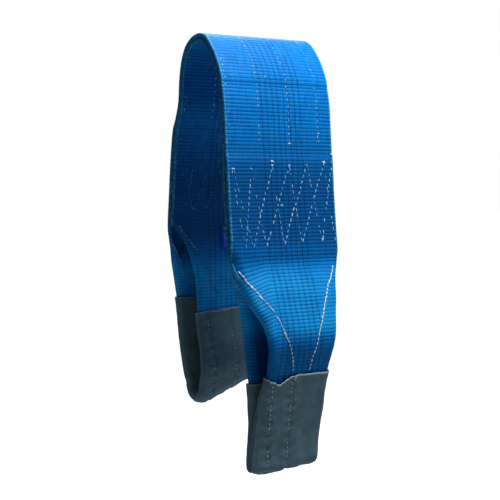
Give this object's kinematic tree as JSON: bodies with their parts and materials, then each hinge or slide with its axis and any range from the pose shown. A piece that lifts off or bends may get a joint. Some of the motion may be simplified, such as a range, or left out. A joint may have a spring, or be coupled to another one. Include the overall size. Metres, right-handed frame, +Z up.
{
  "type": "flat web sling",
  "caption": "Flat woven lifting sling hung folded in half, with a folded eye in a grey wear sleeve at each end.",
  "frame": {"origin": "underside of the crown at mid width, where the bar or hook that holds the sling bears", "axes": "+Z up, +X across the web, +Y from the front limb, which has the longer fall, to the back limb"},
  "size_m": [0.2, 0.303, 0.6977],
  "materials": {
    "load_web": "woven polyester webbing, blue with dark marker yarns",
    "liner_web": "thin woven polyester webbing",
    "sleeve_cloth": "tight grey twill",
    "sewing_thread": "heavy white polyester thread",
    "sleeve_thread": "grey polyester thread",
    "label_cloth": "smooth coated label cloth"
  },
  "bodies": {
    "crown": {"crown_inner_ply": "load_web", "crown_outer_ply": "load_web", "crown_seam_1": "sewing_thread", "crown_seam_2": "sewing_thread", "crown_seam_3": "sewing_thread", "crown_seam_4": "sewing_thread"},
    "front_limb": {"front_block_stitch_inner": "sewing_thread", "front_block_stitch_outer": "sewing_thread", "front_limb_inner_ply": "load_web", "front_limb_outer_ply": "load_web", "front_liner_tail_inner": "liner_web", "front_liner_tail_outer": "liner_web", "front_seam_1": "sewing_thread", "front_seam_2": "sewing_thread", "front_seam_3": "sewing_thread", "front_seam_4": "sewing_thread"},
    "front_eye": {"front_eye_liner": "liner_web", "front_eye_sleeve": "sleeve_cloth", "front_eye_web": "load_web", "front_fold_stitch_far_left": "sewing_thread", "front_fold_stitch_far_right": "sewing_thread", "front_fold_stitch_near_left": "sewing_thread", "front_fold_stitch_near_right": "sewing_thread", "front_sleeve_seam_centre": "sleeve_thread", "front_sleeve_seam_edge": "sleeve_thread"},
    "back_limb": {"back_block_stitch_inner": "sewing_thread", "back_block_stitch_outer": "sewing_thread", "back_limb_inner_ply": "load_web", "back_limb_outer_ply": "load_web", "back_liner_tail_inner": "liner_web", "back_liner_tail_outer": "liner_web", "back_seam_1": "sewing_thread", "back_seam_2": "sewing_thread", "back_seam_3": "sewing_thread", "back_seam_4": "sewing_thread"},
    "back_eye": {"back_eye_liner": "liner_web", "back_eye_sleeve": "sleeve_cloth", "back_eye_web": "load_web", "back_fold_stitch_far_left": "sewing_thread", "back_fold_stitch_far_right": "sewing_thread", "back_fold_stitch_near_left": "sewing_thread", "back_fold_stitch_near_right": "sewing_thread", "back_sleeve_seam_centre": "sleeve_thread", "back_sleeve_seam_edge": "sleeve_thread", "label_margin": "label_cloth", "label_stitch": "sewing_thread"},
    "label": {"label_tag": "label_cloth"}
  },
  "joints": [
    {"name": "front_limb_spread", "type": "hinge", "parent": "crown", "child": "front_limb", "pos_m": [0, -0.071, -0.068], "axis": [-1, 0, 0], "range_deg": [-4, 55], "stiffness_Nm_per_rad": 2, "springref_deg": 4.82},
    {"name": "front_eye_swing", "type": "hinge", "parent": "front_limb", "child": "front_eye", "pos_m": [0, -0.1025, -0.3425], "axis": [-1, 0, 0], "range_deg": [-5, 45], "stiffness_Nm_per_rad": 1, "springref_deg": 1.46},
    {"name": "back_limb_spread", "type": "hinge", "parent": "crown", "child": "back_limb", "pos_m": [0, 0.0627, -0.092], "axis": [1, 0, 0], "range_deg": [-4, 55], "stiffness_Nm_per_rad": 2, "springref_deg": 4.98},
    {"name": "back_eye_swing", "type": "hinge", "parent": "back_limb", "child": "back_eye", "pos_m": [0, 0.1001, -0.2855], "axis": [1, 0, 0], "range_deg": [-5, 45], "stiffness_Nm_per_rad": 1, "springref_deg": 0.64},
    {"name": "label_lift", "type": "hinge", "parent": "back_eye", "child": "label", "pos_m": [0, 0.0869, -0.3085], "axis": [-1, 0, 0], "range_deg": [0, 90]}
  ]
}
